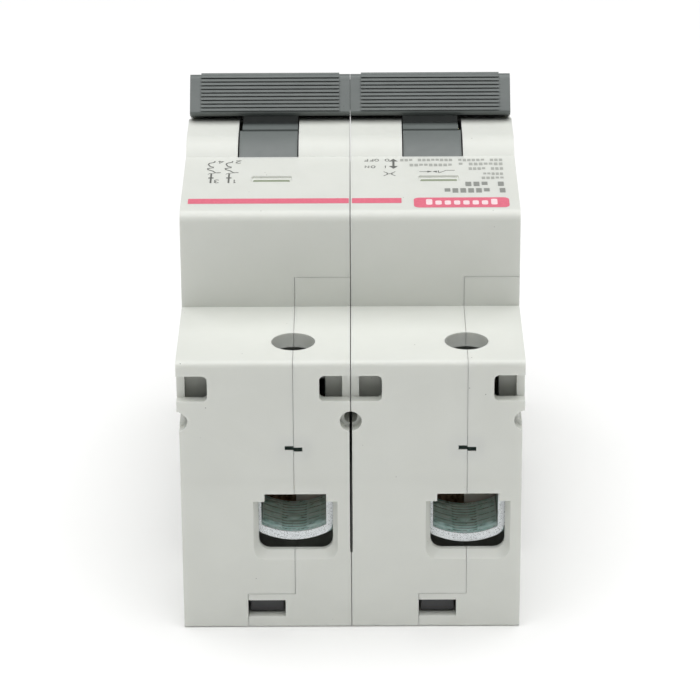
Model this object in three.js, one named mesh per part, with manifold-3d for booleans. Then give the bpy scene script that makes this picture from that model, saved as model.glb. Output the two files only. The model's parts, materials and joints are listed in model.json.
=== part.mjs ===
// Two-pole modular circuit breaker for a 35 mm rail, each pole 27 mm wide, in the OFF position.
// Millimetres. +X runs across the poles, +Y from the line end to the load end, +Z away from the rail.
// The origin is the centre of the rail side. Each pole is drawn from its own left side, x = 0.

import * as THREE from 'three';
import { mergeVertices } from 'three/addons/utils/BufferGeometryUtils.js';
import Module from 'manifold-3d';

const wasm = await Module();
wasm.setup();

// Case
const PITCH = 27;
const POLE_GAP = 0.12;
const POLE_W = PITCH - POLE_GAP / 2;
const HALF_LENGTH = 45;
const SHOULDER_Z = 46;
const HOOD_Y = 22.5;
const HOOD_Z = 62;
const SIDE_WALL = 1.25;
const END_WALL = 2.1;
const SKIN = 2.4;
const PARTITION_Y = [-30.6, -29.6];
const VENT_X = [11.5, 18.1];
const VENT_Z = [13.5, 20];
const FLOOR_TOP = 6.5;
const BAND_STEP = 0.25;
const SEAM_X = 18.1;
const SEAM_GAP = 0.05;
const FOOT_SEAM_X = 10.6;
const FOOT_SEAM_Z = 6;
const HOOD_SEAM_Z = 51;
const OUTER_RELIEF = 0.35;
const OUTER_RELIEF_Y = -31;

// Indicator window in the front: a shallow rim with a slot along its near side
const FLAG_RIM_X = [11, 17.55];
const FLAG_RIM_Y = [-9.4, -6.95];
const FLAG_RIM_Z = 62.1;
const FLAG_SLOT_X = [11.3, 17.25];
const FLAG_SLOT_Y = [-9.2, -8.2];
const FLAG_SLOT_Z = 61.4;

// Hump over the toggles: two arcs joined by a flat
const CREASE_Y = 1.35;
const HUMP_R = 7;
const HUMP_TOP = 64.75;
const HUMP_NEAR_Y = 6.3;
const HUMP_FAR_Y = 13.1;
const HUMP_NEAR_ANGLE = 45;
const HUMP_FAR_ANGLE = 40;

// Rail groove and its clips
const GROOVE_HALF = 17.7;
const GROOVE_DEPTH = 5;
const CLIP_X = [10.6, 16.5];
const CLIP_Z = [1.96, 4.9];
const CLIP_PLAY = 0.3;
const HOOK_REACH = 1.5;
const HOOK_TOP = 3.8;

// Terminals
const TERMINAL_X = 18.15;
const TERMINAL_Y = 36.6;
const SCREW_HOLE_R = 3.43;
const SCREW_HEAD_R = 4;
const SCREW_SHANK_R = 2.9;
const SCREW_HEAD_Z = [38.6, 42];
const SCREW_TIP_Z = 25.6;
const CAGE_X = 17.93;
const CAGE_HALF_W = 6.23;
const CAGE_SIDE = 1.1;
const CAGE_CORNER_R = 1.2;
const CAGE_Y = [31.4, 42.4];
const CAGE_TOP_Z = [29, 31.5];
const SADDLE_LOW = 14.4;
const SADDLE_RISE = 1.8;
const SADDLE_T = 1.3;
const RIGHT_CAGE_DROP = 0.45;
const BAR_Z = [23, 25];
const BAR_X = [13.6, 22.7];

// Openings of an end face
const WINDOW_X = [12.4, 24.1];
const WINDOW_Z = [13.35, 22.3];
const WINDOW_R = 1.8;
const WINDOW_BEVEL = 1.2;
const BEVEL_SIDE = 0.8;
const SIDE_WINDOW_W = 4.8;
const SIDE_WINDOW_Z = [39.4, 43.7];
const SIDE_WINDOW_BACK_Y = [39, 40];
const SIDE_WINDOW_BACK_Z = 37.3;
const SIDE_WINDOW_R = 0.8;
const SLIT_X = [16.7, 18.1, 19.45];
const SLIT_Z = [[31.05, 31.8], [30.8, 31.55]];
const SLIT_WALL = 0.5;
const SLIT_RELIEF_Z = [29.5, 33];
const GRIP_BAND_Z = [13.4, 37.7];
const GRIP_BAND_DEPTH = 0.15;
const LATCH_Z = 36;
const LATCH_R = 1.66;
const LATCH_HOLE_R = 1;

// Toggles: one shaft line, both tilted back when OFF
const TOGGLE_Y = 9.7;
const TOGGLE_Z = 48.3;
const TOGGLE_TILT = 22;
const DRUM_X = [8.7, 18.3];
const SLOT_X = [8.5, 18.5];
const SLOT_FAR_Y = 18.1;
const SLOT_R = 16.67;
const DRUM_R = 16.1;
const PAD_R = 16.4;
const PAD_INSET = 0.4;
const PAD_LAP = 0.5;
const HUB_R = 10.5;
const DRUM_ANGLES = [-52.5, -23.5, 21];
const STEM_HALF = 2;
const GRIP_OUTER = 0.25;
const GRIP_INNER = -0.03;
const RIB_OUTER = 2.1;
const RIB_INNER = 1.75;
const RIB_PITCH = 0.65;
const RIB_COUNT = 10;
const RIB_HEIGHT = 0.3;
const RIB_BASE_R = 18.15;
const CAP_RISE = 0.25;
const TIE_S = [3.5, 2];
const TIE_R = [18.5, 23.5];
const TIE_DEPTH = 4;
const AXLE_R = 1.5;

// Mechanism, in the plane of a pole
const ARM_Y = 4;
const ARM_Z = 33.9;
const ARM_OPENING = 24;
const ARM_PIN_R = 1;
const ARM_X = [11.5, 15.5];
const COIL_X = 13.4;
const COIL_Z = 26;
const COIL_Y = [9.7, 22.5];
const COIL_R = 5;
const COIL_WIRE_R = 1.05;
const COIL_TURNS = 5;
const TRIP_Y = 25;
const TRIP_Z = 40;
const TRIP_BAR_R = 1.2;
const RUNNING = 0.2;

// Rivets: the holes they sit in, as [y, z]
const RIVETS = [[-27.5, 11], [27, 9.2], [-27, 40.5], [30.3, 41], [-14, 48.5]];
const RIVET_R = 1;
const RIVET_HEAD_R = 2;
const RIVET_HEAD_T = 0.6;
const BOSS_R = 2.1;

const SHELL = { color: 0xe6e8e3, roughness: 0.42, metalness: 0 };
const GREY = { color: 0x757977, roughness: 0.5, metalness: 0 };
const DARK = { color: 0x2b2b2d, roughness: 0.6, metalness: 0 };
const FIBRE = { color: 0xb9a58a, roughness: 0.8, metalness: 0 };
const STEEL = { color: 0x9aa3a2, roughness: 0.35, metalness: 1 };
const ZINC = { color: 0x8b9a99, roughness: 0.4, metalness: 1 };
const COPPER = { color: 0xb87350, roughness: 0.35, metalness: 1 };

const radians = THREE.MathUtils.degToRad;

// ---- Solids ----

function solid(geometry) {
  const plain = geometry.index ? geometry : geometry.clone();
  plain.deleteAttribute('normal');
  plain.deleteAttribute('uv');
  const merged = mergeVertices(plain, 1e-4);
  return new wasm.Manifold(new wasm.Mesh({
    numProp: 3,
    vertProperties: new Float32Array(merged.attributes.position.array),
    triVerts: new Uint32Array(merged.index.array),
  }));
}

function box([x0, x1], [y0, y1], [z0, z1]) {
  const geometry = new THREE.BoxGeometry(x1 - x0, y1 - y0, z1 - z0);
  geometry.translate((x0 + x1) / 2, (y0 + y1) / 2, (z0 + z1) / 2);
  return solid(geometry);
}

function extruded(points, depth, holes = []) {
  const outline = points.map(([u, v]) => new THREE.Vector2(u, v));
  if (THREE.ShapeUtils.isClockWise(outline)) {
    outline.reverse();
  }
  const shape = new THREE.Shape(outline);
  for (const hole of holes) {
    shape.holes.push(new THREE.Path(hole.map(([u, v]) => new THREE.Vector2(u, v))));
  }
  return new THREE.ExtrudeGeometry(shape, { depth, bevelEnabled: false, steps: 1 });
}

const AXIS_X = new THREE.Vector3(1, 0, 0);
const AXIS_Y = new THREE.Vector3(0, 1, 0);
const AXIS_Z = new THREE.Vector3(0, 0, 1);

// Outline as [y, z], standing along X
function prismX(points, [x0, x1], holes) {
  const geometry = extruded(points, x1 - x0, holes);
  geometry.applyMatrix4(new THREE.Matrix4().makeBasis(AXIS_Y, AXIS_Z, AXIS_X));
  geometry.translate(x0, 0, 0);
  return solid(geometry);
}

// Outline as [x, z], standing along Y
function prismY(points, [y0, y1], holes = []) {
  const turned = (outline) => outline.map(([x, z]) => [z, x]);
  const geometry = extruded(turned(points), y1 - y0, holes.map(turned));
  geometry.applyMatrix4(new THREE.Matrix4().makeBasis(AXIS_Z, AXIS_X, AXIS_Y));
  geometry.translate(0, y0, 0);
  return solid(geometry);
}

// Outline as [x, y], standing along Z
function prismZ(points, [z0, z1], holes) {
  const geometry = extruded(points, z1 - z0, holes);
  geometry.translate(0, 0, z0);
  return solid(geometry);
}

function rodX(radius, [x0, x1], y, z, sides = 24) {
  const geometry = new THREE.CylinderGeometry(radius, radius, x1 - x0, sides);
  geometry.rotateZ(Math.PI / 2);
  geometry.translate((x0 + x1) / 2, y, z);
  return solid(geometry);
}

function rodY(radius, x, [y0, y1], z, sides = 24) {
  const geometry = new THREE.CylinderGeometry(radius, radius, y1 - y0, sides);
  geometry.translate(x, (y0 + y1) / 2, z);
  return solid(geometry);
}

function rodZ(radius, x, y, [z0, z1], sides = 32) {
  const geometry = new THREE.CylinderGeometry(radius, radius, z1 - z0, sides);
  geometry.rotateX(Math.PI / 2);
  geometry.translate(x, y, (z0 + z1) / 2);
  return solid(geometry);
}

// ---- Outlines ----

function arc(u, v, radius, fromDegrees, toDegrees, steps) {
  const points = [];
  for (let i = 0; i <= steps; i += 1) {
    const angle = radians(fromDegrees + ((toDegrees - fromDegrees) * i) / steps);
    points.push([u + radius * Math.cos(angle), v + radius * Math.sin(angle)]);
  }
  return points;
}

// Corners as [u, v, radius]; a corner with a radius becomes a round of that radius
function rounded(corners, steps = 4) {
  return corners.flatMap(([u, v, radius = 0], i) => {
    if (radius === 0) {
      return [[u, v]];
    }
    const before = corners[(i + corners.length - 1) % corners.length];
    const after = corners[(i + 1) % corners.length];
    const corner = new THREE.Vector2(u, v);
    const back = new THREE.Vector2(before[0] - u, before[1] - v).normalize();
    const ahead = new THREE.Vector2(after[0] - u, after[1] - v).normalize();
    const halfAngle = Math.acos(back.dot(ahead)) / 2;
    const bisector = back.clone().add(ahead).normalize();
    const centre = corner.clone().addScaledVector(bisector, radius / Math.sin(halfAngle));
    const start = corner.clone().addScaledVector(back, radius / Math.tan(halfAngle)).sub(centre);
    const end = corner.clone().addScaledVector(ahead, radius / Math.tan(halfAngle)).sub(centre);
    const sweep = Math.atan2(start.cross(end), start.dot(end));
    return Array.from({ length: steps + 1 }, (_, k) => {
      const spoke = start.clone().rotateAround(new THREE.Vector2(), (sweep * k) / steps);
      return [centre.x + spoke.x, centre.y + spoke.y];
    });
  });
}

function rectangle([u0, u1], [v0, v1], radius = 0) {
  return rounded([[u0, v0, radius], [u1, v0, radius], [u1, v1, radius], [u0, v1, radius]]);
}

function humpOutline(inset) {
  const radius = HUMP_R - inset;
  const centreZ = HUMP_TOP - HUMP_R;
  const far = arc(HUMP_FAR_Y, centreZ, radius, 90 - HUMP_FAR_ANGLE, 90, 6);
  const near = arc(HUMP_NEAR_Y, centreZ, radius, 90, 90 + HUMP_NEAR_ANGLE, 7);
  return [...far, ...near];
}

// Side outline of the case as [y, z], anticlockwise from the line end's foot
function caseOutline() {
  const face = HALF_LENGTH - BAND_STEP;
  const farFlatZ = HUMP_TOP - HUMP_R + HUMP_R * Math.cos(radians(HUMP_FAR_ANGLE));
  const foot = 7.4;
  return rounded([
    [-face, 0, 0.5],
    [face, 0, 0.5],
    [HALF_LENGTH, foot],
    [HALF_LENGTH, 25.3],
    [face, 26.1],
    [face, SHOULDER_Z, 1],
    [HOOD_Y, SHOULDER_Z],
    [HOOD_Y, farFlatZ - 0.1, 1.7],
    ...humpOutline(0),
    [-HOOD_Y, HOOD_Z, 1.7],
    [-HOOD_Y, SHOULDER_Z],
    [-face, SHOULDER_Z, 1],
    [-face, 26.1],
    [-HALF_LENGTH, 25.3],
    [-HALF_LENGTH, foot],
  ]);
}

function hoodHollow(baseZ) {
  const inner = HOOD_Y - 1.6;
  return [
    [-inner, baseZ],
    [inner, baseZ],
    [inner, HOOD_Z - 0.9],
    ...humpOutline(1.6),
    [-inner, HOOD_Z - 1.6],
  ];
}

// ---- Case shells ----

function rivetHoles() {
  const cuts = RIVETS.map(([y, z]) => rodX(RIVET_R + RUNNING, [-1, PITCH + 1], y, z, 10)
    .add(rodX(RIVET_HEAD_R + RUNNING, [-1, RIVET_HEAD_T + 0.1], y, z, 14))
    .add(rodX(RIVET_HEAD_R + RUNNING, [POLE_W - RIVET_HEAD_T - 0.1, PITCH + 1], y, z, 14)));
  return cuts.reduce((all, cut) => all.add(cut));
}

// A window whose outline, all but its head, opens out towards the face over the bevel's depth
function flared(outline, face, depth) {
  const middle = (WINDOW_X[0] + WINDOW_X[1]) / 2;
  const wider = (x) => x + Math.sign(x - middle) * BEVEL_SIDE * Math.min(1, Math.abs(x - middle) / 3);
  const lower = (z) => z - (depth * (WINDOW_Z[1] - z)) / (WINDOW_Z[1] - WINDOW_Z[0]);
  const geometry = extruded(outline.map(([x, z]) => [z, x]), depth);
  geometry.applyMatrix4(new THREE.Matrix4().makeBasis(AXIS_Z, AXIS_X, AXIS_Y));
  const position = geometry.attributes.position;
  for (let i = 0; i < position.count; i += 1) {
    if (position.getY(i) < depth / 2) {
      position.setX(i, wider(position.getX(i)));
      position.setZ(i, lower(position.getZ(i)));
    }
  }
  geometry.translate(0, face, 0);
  return solid(geometry).add(prismY(outline, [face - 1, face + depth]));
}

// What is cut out of one end of a pole. end is -1 at the line end and +1 at the load end, outer is the
// side away from the other pole, -1 for the left one.
function endCuts(end, outer) {
  const face = -HALF_LENGTH;
  const behind = face + END_WALL + 0.5;
  const through = [face - 1, behind];
  const [windowLeft, windowRight] = WINDOW_X;
  const [windowFoot, windowHead] = WINDOW_Z;
  const notch = [windowLeft + 1, windowRight - 1];
  const cableWindow = rounded([
    [windowLeft, windowFoot, WINDOW_R], [windowRight, windowFoot, WINDOW_R],
    [windowRight, windowHead], [windowLeft, windowHead],
  ]);
  const cuts = [
    prismY(cableWindow, through),
    box(notch, through, [windowHead - 0.1, windowHead + 1.3]),
    flared(cableWindow, face, WINDOW_BEVEL),
    box([SLIT_X[0], SLIT_X[1]], through, SLIT_Z[0]),
    box([SLIT_X[1], SLIT_X[2]], through, SLIT_Z[1]),
    box([SLIT_X[0] - 1.3, SLIT_X[2] + 1.3], [face + SLIT_WALL, behind], SLIT_RELIEF_Z),
    rodZ(SCREW_HOLE_R, TERMINAL_X - 0.1, -TERMINAL_Y, [SHOULDER_Z - SKIN - 1, SHOULDER_Z + 1]),
    box(CLIP_X, [face - 1, -GROOVE_HALF + 1], CLIP_Z),
    outer < 0
      ? box([-1, OUTER_RELIEF], [face - 1, OUTER_RELIEF_Y], [-1, GRIP_BAND_Z[1]])
      : box([-1, GRIP_BAND_DEPTH], [face - 1, -20], GRIP_BAND_Z),
    outer > 0
      ? box([POLE_W - OUTER_RELIEF, PITCH + 1], [face - 1, OUTER_RELIEF_Y], [-1, GRIP_BAND_Z[1]])
      : box([POLE_W - GRIP_BAND_DEPTH, PITCH + 1], [face - 1, -20], GRIP_BAND_Z),
  ];
  const nearSpan = [-3, SIDE_WINDOW_W];
  const farSpan = [POLE_W - SIDE_WINDOW_W, PITCH + 3];
  for (const span of [nearSpan, farSpan]) {
    cuts.push(prismY(rectangle(span, SIDE_WINDOW_Z, SIDE_WINDOW_R), [face - 1, face + END_WALL]));
  }
  for (const x of [0, POLE_W]) {
    cuts.push(rodY(LATCH_R, x, [face - 1, face + 2], LATCH_Z));
    cuts.push(rodY(LATCH_HOLE_R, x, [face, face + 7], LATCH_Z));
  }
  const all = cuts.reduce((sum, cut) => sum.add(cut));
  return end < 0 ? all : all.mirror([0, 1, 0]);
}

// The whole case of a pole, before it is parted into its two shells
function poleCase(tieSide) {
  const inner = HALF_LENGTH - END_WALL;
  const roof = SHOULDER_Z - SKIN;
  const inside = [SIDE_WALL, POLE_W - SIDE_WALL];
  let body = prismX(caseOutline(), [0, POLE_W])
    .subtract(box(inside, [-inner, inner], [FLOOR_TOP, roof]))
    .subtract(prismX(hoodHollow(roof - 1), inside))
    .subtract(box([-1, PITCH + 1], [-GROOVE_HALF, GROOVE_HALF], [-1, GROOVE_DEPTH]));
  for (const [y, z] of RIVETS) {
    body = body.add(rodX(BOSS_R, [SIDE_WALL - 0.1, POLE_W - SIDE_WALL + 0.1], y, z, 10));
  }
  const acrossInside = [SIDE_WALL - 0.1, POLE_W - SIDE_WALL + 0.1];
  body = body.add(box(acrossInside, PARTITION_Y, [FLOOR_TOP - 0.1, BAR_Z[0] - 0.4]))
    .subtract(box(VENT_X, [PARTITION_Y[0] - 1, PARTITION_Y[1] + 1], VENT_Z));
  const backs = [[acrossInside[0], SIDE_WINDOW_W + 0.3], [POLE_W - SIDE_WINDOW_W + 0.9, acrossInside[1]]];
  for (const x of backs) {
    const back = box(x, SIDE_WINDOW_BACK_Y, [SIDE_WINDOW_BACK_Z, roof + 0.1]);
    body = body.add(back).add(back.mirror([0, 1, 0]));
  }
  for (const [y, z, radius] of [[TOGGLE_Y, TOGGLE_Z, AXLE_R], [ARM_Y, ARM_Z, ARM_PIN_R]]) {
    const boss = rodX(radius + 1.1, [0, POLE_W], y, z, 16)
      .subtract(rodX(radius + RUNNING, inside, y, z, 16))
      .subtract(box([SIDE_WALL + 1.7, POLE_W - SIDE_WALL - 1.7], [-40, 40], [0, 60]));
    body = body.add(boss);
  }
  const slot = box(SLOT_X, [CREASE_Y - 0.1, SLOT_FAR_Y], [HOOD_Z - 2, HUMP_TOP + 2])
    .add(rodX(SLOT_R, SLOT_X, TOGGLE_Y, TOGGLE_Z, 72).intersect(box(SLOT_X, [-8, 20.9], [40, 70])));
  const openSide = tieSide > 0 ? [20, PITCH + 1] : [-1, 5];
  const tripHole = rodX(TRIP_BAR_R + 0.4, openSide, TRIP_Y, TRIP_Z, 20);
  return body
    .subtract(rivetHoles())
    .subtract(endCuts(-1, -tieSide))
    .subtract(endCuts(1, -tieSide))
    .subtract(slot)
    .subtract(tripHole)
    .subtract(prismZ(rectangle(FLAG_RIM_X, FLAG_RIM_Y, 0.3), [FLAG_RIM_Z, HUMP_TOP]))
    .subtract(box(FLAG_SLOT_X, FLAG_SLOT_Y, [FLAG_SLOT_Z, HUMP_TOP]));
}

// The space of the right-hand shell, grown by gap
function coverSpace(gap) {
  const wide = [-HALF_LENGTH - 1, HALF_LENGTH + 1];
  const sidePanel = prismX(hoodHollow(HOOD_SEAM_Z - 1), [POLE_W - SIDE_WALL - gap, PITCH + 1]);
  return box([SEAM_X - gap, PITCH + 1], wide, [FOOT_SEAM_Z - gap, HOOD_SEAM_Z + gap])
    .add(box([FOOT_SEAM_X - gap, PITCH + 1], wide, [-1, FOOT_SEAM_Z + gap]))
    .add(sidePanel);
}

// ---- Moving parts ----

function toggleRadial(outline) {
  return outline.map(([degrees, radius]) => {
    const angle = radians(degrees);
    return [radius * Math.sin(angle), radius * Math.cos(angle)];
  });
}

function sector(radius, from, to) {
  const steps = Math.ceil(Math.abs(to - from) / 4);
  const rim = Array.from({ length: steps + 1 }, (_, i) => [from + ((to - from) * i) / steps, radius]);
  return toggleRadial([[from, 2], ...rim, [to, 2]]);
}

// Section of the bar that ties the two grips, as [s, r] in the toggle's own plane
function tieSection(grow) {
  const [wide, narrow] = TIE_S.map((half) => half + grow);
  const [low, high] = [TIE_R[0] - grow, TIE_R[1] + grow];
  return [[-wide, low], [wide, low], [narrow, high], [-narrow, high]];
}

// Toggle standing upright about its axle: drum, pad, stem and finger grip in one moulding
function toggle(tieSide) {
  const grip = rounded([
    [-3.5, 17.4], [3.5, 17.4], [4.5, 17.85, 0.3], [2.5, 24.4, 1.2], [-2.5, 24.4, 1.2], [-4.5, 17.85, 0.3],
  ]);
  const inset = (inner, outer) => (tieSide > 0 ? [outer, POLE_W - inner] : [inner, POLE_W - outer]);
  const gripX = inset(GRIP_INNER, GRIP_OUTER);
  const ribX = inset(RIB_INNER, RIB_OUTER);
  const padX = tieSide > 0 ? [DRUM_X[0] + PAD_INSET, DRUM_X[1]] : [DRUM_X[0], DRUM_X[1] - PAD_INSET];
  const cap = rounded([
    [-1.9, 22.5], [1.9, 22.5], [1.9, 24.4 + CAP_RISE, 0.4], [-1.9, 24.4 + CAP_RISE, 0.4],
  ]);
  const [nearEdge, step, farEdge] = DRUM_ANGLES;
  let body = rodX(HUB_R, DRUM_X, 0, 0, 48)
    .add(prismX(sector(DRUM_R, nearEdge, step), DRUM_X))
    .add(prismX(sector(PAD_R, step - PAD_LAP, farEdge), padX))
    .add(prismX([[-STEM_HALF, 15], [STEM_HALF, 15], [STEM_HALF, 18], [-STEM_HALF, 18]], padX))
    .add(prismX(grip, gripX))
    .add(prismX(cap, ribX));
  const slope = Math.atan2(2, 24.4 - 17.85);
  for (let i = 0; i < RIB_COUNT; i += 1) {
    const along = RIB_BASE_R - 17.85 + i * RIB_PITCH * Math.cos(slope);
    const rise = 0.45 * Math.cos(slope);
    const drift = Math.tan(slope);
    const low = 4.5 - along * drift;
    const high = 4.5 - (along + rise) * drift;
    const z = 17.85 + along;
    const rib = [
      [1 - low, z],
      [-RIB_HEIGHT - low, z + 0.05],
      [-RIB_HEIGHT - high, z + rise],
      [1 - high, z + rise + 0.05],
    ];
    body = body.add(prismX(rib, ribX));
  }
  const pocket = TIE_DEPTH + RUNNING;
  const pocketX = tieSide > 0 ? [POLE_W - pocket, PITCH + 1] : [-1, pocket];
  return body
    .subtract(rodX(AXLE_R + RUNNING, [0, PITCH], 0, 0))
    .subtract(prismX(tieSection(RUNNING), pocketX));
}

function cage() {
  const sagging = (left, right, z, rise) => Array.from({ length: 11 }, (_, i) => {
    const across = i / 5 - 1;
    return [(left + right) / 2 + (across * (right - left)) / 2, z + rise * across * across];
  });
  const left = CAGE_X - CAGE_HALF_W;
  const right = CAGE_X + CAGE_HALF_W;
  const under = sagging(left, right, SADDLE_LOW, SADDLE_RISE);
  under[0].push(CAGE_CORNER_R);
  under[under.length - 1].push(CAGE_CORNER_R);
  const outer = rounded([...under, [right, CAGE_TOP_Z[1]], [left, CAGE_TOP_Z[1]]]);
  const opening = [
    ...sagging(left + CAGE_SIDE, right - CAGE_SIDE, SADDLE_LOW + SADDLE_T, SADDLE_RISE * 0.7),
    [right - CAGE_SIDE, CAGE_TOP_Z[0]],
    [left + CAGE_SIDE, CAGE_TOP_Z[0]],
  ];
  return prismY(outer, [-CAGE_Y[1], -CAGE_Y[0]], [opening])
    .subtract(rodZ(SCREW_SHANK_R + RUNNING, TERMINAL_X, -TERMINAL_Y, [28, 33], 24));
}

function screw() {
  const slotDepth = 1.4;
  const top = [SCREW_HEAD_Z[1] - slotDepth, SCREW_HEAD_Z[1] + 1];
  const across = [TERMINAL_X - SCREW_HEAD_R - 1, TERMINAL_X + SCREW_HEAD_R + 1];
  const cross = [TERMINAL_X - 0.55, TERMINAL_X + 0.55];
  return rodZ(SCREW_HEAD_R, TERMINAL_X, -TERMINAL_Y, SCREW_HEAD_Z)
    .add(rodZ(SCREW_SHANK_R, TERMINAL_X, -TERMINAL_Y, [SCREW_TIP_Z, SCREW_HEAD_Z[0] + 0.5], 24))
    .subtract(box(across, [-TERMINAL_Y - 0.6, -TERMINAL_Y + 0.6], top))
    .subtract(box(cross, [-TERMINAL_Y - 2.4, -TERMINAL_Y + 2.4], top));
}

function dinClip() {
  const x = [CLIP_X[0] + CLIP_PLAY, CLIP_X[1] - CLIP_PLAY];
  const low = CLIP_Z[0] + CLIP_PLAY;
  const high = CLIP_Z[1] - CLIP_PLAY;
  const tip = -GROOVE_HALF + HOOK_REACH;
  const outline = [
    [-43.4, low], [tip - 0.8, low], [tip, low + 0.8], [tip, HOOK_TOP], [-GROOVE_HALF - 0.4, HOOK_TOP],
    [-GROOVE_HALF - 0.4, high], [-40, high], [-40, low + 1], [-42.4, low + 1], [-42.4, high], [-43.4, high],
  ];
  return prismX(outline, x);
}

// Contact arm in its closed position about its pin
function contactArm() {
  const outline = [
    ...arc(0, 0, 3, -90, 90, 10),
    [-12, -3.2],
    [-20.5, -5.2],
    [-20.5, -6.6],
    [-15.5, -6.6],
    [-8, -4.6],
  ];
  const tip = rodZ(2, (ARM_X[0] + ARM_X[1]) / 2, -18, [-7.4, -6.3], 20);
  return prismX(outline, ARM_X).add(tip)
    .subtract(rodX(ARM_PIN_R + RUNNING, [0, PITCH], 0, 0, 20));
}

// ---- Fixed mechanism ----

class Winding extends THREE.Curve {
  getPoint(t, target = new THREE.Vector3()) {
    const angle = t * COIL_TURNS * 2 * Math.PI;
    const y = THREE.MathUtils.lerp(COIL_Y[0], COIL_Y[1], t);
    return target.set(COIL_X + COIL_R * Math.cos(angle), y, COIL_Z + COIL_R * Math.sin(angle));
  }
}

function tube(curve, radius, sides, steps) {
  const section = new THREE.Shape(arc(0, 0, radius, 0, 360 - 360 / sides, sides - 1)
    .map(([u, v]) => new THREE.Vector2(u, v)));
  return solid(new THREE.ExtrudeGeometry(section, { extrudePath: curve, steps, bevelEnabled: false }));
}

function yoke() {
  const outline = [
    [7.2, 17.8], [25.2, 17.8], [25.2, 33], [24, 33], [24, 19], [8.4, 19], [8.4, 33], [7.2, 33],
  ];
  return prismX(outline, [7.6, 19.2]).subtract(rodY(2.2, COIL_X, [6, 9], COIL_Z));
}

function arcChute() {
  const side = 0.7;
  const x = [4.2, 22.4];
  const y = [-24, 4.6];
  const z = [8, 18.4];
  let chute = box([x[0], x[0] + side], y, z).add(box([x[1] - side, x[1]], y, z));
  for (let i = 0; i < 11; i += 1) {
    const start = y[0] + 0.4 + i * 2.65;
    chute = chute.add(box([x[0] + 0.3, x[1] - 0.3], [start, start + 1], [z[0] + 0.4, z[1] - 0.4]));
  }
  return chute;
}

function arcRunner() {
  return prismX([[-24, 19], [5.6, 19], [5.6, 8], [6.6, 8], [6.6, 20], [-24, 20]], [10.5, 16.5]);
}

function lineBusbar() {
  const outline = [
    [BAR_X[0], -42], [BAR_X[1], -42], [BAR_X[1], -27], [16.5, -22],
    [16.5, -11], [10.5, -11], [10.5, -22], [BAR_X[0], -27],
  ];
  const tip = rodZ(2.2, (ARM_X[0] + ARM_X[1]) / 2, -14, [BAR_Z[1] - 0.2, BAR_Z[1] + 1.2], 20);
  return prismZ(outline, BAR_Z).add(tip);
}

function loadBusbar() {
  const outline = [
    [42, BAR_Z[0]], [42, BAR_Z[1]], [29.6, BAR_Z[1]], [29.6, 12], [31, 12], [31, BAR_Z[0]],
  ];
  return prismX(outline, BAR_X);
}

function tripLever() {
  const outline = [
    ...arc(TRIP_Y, TRIP_Z, 2.2, -30, 210, 14),
    [TRIP_Y - 0.6, TRIP_Z - 4],
    [TRIP_Y + 1.4, TRIP_Z - 6],
    [TRIP_Y + 2.6, TRIP_Z - 6],
    [TRIP_Y + 2.6, TRIP_Z - 4],
  ];
  return prismX(outline, [9.5, 16.5]).subtract(rodX(TRIP_BAR_R + RUNNING, [0, PITCH], TRIP_Y, TRIP_Z, 20));
}

function link() {
  const top = [TOGGLE_Y - 3, TOGGLE_Z - 7];
  const foot = [ARM_Y - 2, ARM_Z + 4.5];
  const direction = THREE.MathUtils.radToDeg(Math.atan2(top[1] - foot[1], top[0] - foot[0]));
  const outline = [
    ...arc(top[0], top[1], 1.2, direction - 90, direction + 90, 8),
    ...arc(foot[0], foot[1], 1.2, direction + 90, direction + 270, 8),
  ];
  return prismX(outline, [18.8, 20]);
}

function rivet(y, z) {
  return rodX(RIVET_R, [0.3, POLE_W - 0.3], y, z, 10)
    .add(rodX(RIVET_HEAD_R, [0.05, RIVET_HEAD_T - 0.1], y, z, 14))
    .add(rodX(RIVET_HEAD_R, [POLE_W - RIVET_HEAD_T + 0.1, POLE_W - 0.05], y, z, 14));
}

// ---- Assembly ----

function named(name, shape, finish) {
  const mesh = shape.getMesh();
  const geometry = new THREE.BufferGeometry();
  geometry.setAttribute('position', new THREE.BufferAttribute(new Float32Array(mesh.vertProperties), 3));
  geometry.setIndex(new THREE.BufferAttribute(new Uint32Array(mesh.triVerts), 1));
  geometry.computeVertexNormals();
  const piece = new THREE.Mesh(geometry, new THREE.MeshStandardMaterial(finish));
  piece.name = name;
  return piece;
}

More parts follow.
